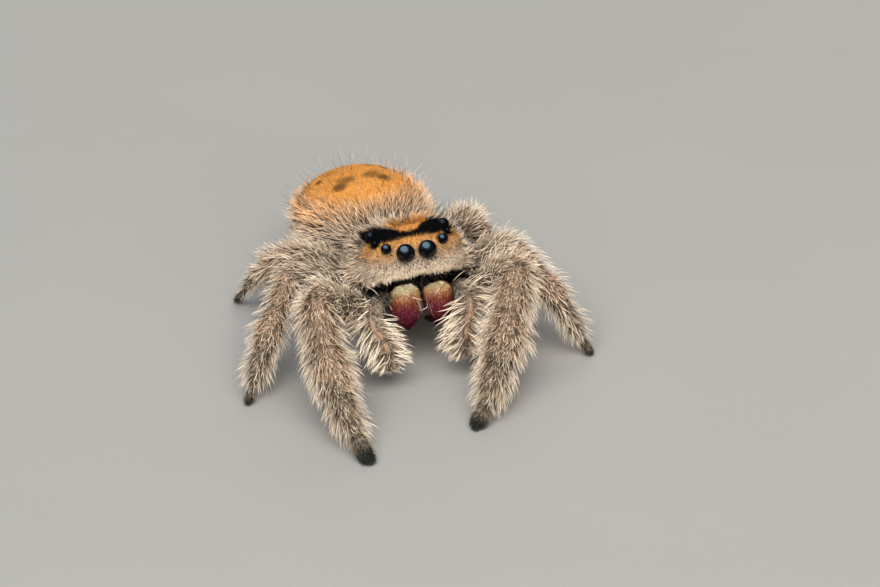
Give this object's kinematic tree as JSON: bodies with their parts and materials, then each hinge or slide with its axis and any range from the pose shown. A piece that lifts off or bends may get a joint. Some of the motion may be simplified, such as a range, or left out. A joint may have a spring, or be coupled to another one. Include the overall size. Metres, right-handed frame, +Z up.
{
  "type": "jumping spider",
  "caption": "Still, life-size regal jumping spider with grey-cream fur, an orange face and back, glossy black eyes and iridescent jaws, standing on its feet.",
  "frame": {"origin": "on the floor, below the middle of the whole spider's box", "axes": "+Z up, the spider faces -Y, and its left side is towards +X"},
  "size_m": [0.0174, 0.0228, 0.0065],
  "materials": {
    "coat_grey": "pale grey-cream fur over a tan skin",
    "coat_orange": "short orange fur with grey-cream sides",
    "jaw_shell": "iridescent shell, gold above and magenta below, under fine pale hair",
    "horn_black": "polished dark horn",
    "eye_lens": "glossy black lens",
    "foot_dark": "dense dark blue-grey fur pad"
  },
  "bodies": {
    "root": {"cephalothorax": "coat_grey", "eye_front_middle_left": "eye_lens", "eye_front_middle_right": "eye_lens", "eye_front_side_left": "eye_lens", "eye_front_side_right": "eye_lens", "eye_rear_small_left": "eye_lens", "eye_rear_small_right": "eye_lens", "eye_rear_side_left": "eye_lens", "eye_rear_side_right": "eye_lens", "chelicera_left": "jaw_shell", "chelicera_right": "jaw_shell", "fang_left": "horn_black", "fang_right": "horn_black", "maxilla_left": "horn_black", "maxilla_right": "horn_black", "leg_1_left_upper": "coat_grey", "leg_1_right_upper": "coat_grey", "leg_2_left_upper": "coat_grey", "leg_2_right_upper": "coat_grey", "leg_3_left_upper": "coat_grey", "leg_3_right_upper": "coat_grey", "leg_4_left_upper": "coat_grey", "leg_4_right_upper": "coat_grey", "leg_1_left_lower": "coat_grey", "leg_1_right_lower": "coat_grey", "leg_2_left_lower": "coat_grey", "leg_2_right_lower": "coat_grey", "leg_3_left_lower": "coat_grey", "leg_3_right_lower": "coat_grey", "leg_4_left_lower": "coat_grey", "leg_4_right_lower": "coat_grey", "leg_1_left_foot": "foot_dark", "leg_1_right_foot": "foot_dark", "leg_2_left_foot": "foot_dark", "leg_2_right_foot": "foot_dark", "leg_3_left_foot": "foot_dark", "leg_3_right_foot": "foot_dark", "leg_4_left_foot": "foot_dark", "leg_4_right_foot": "foot_dark", "palp_left": "coat_grey", "palp_right": "coat_grey", "abdomen": "coat_orange", "spinnerets": "coat_grey"}
  },
  "joints": []
}
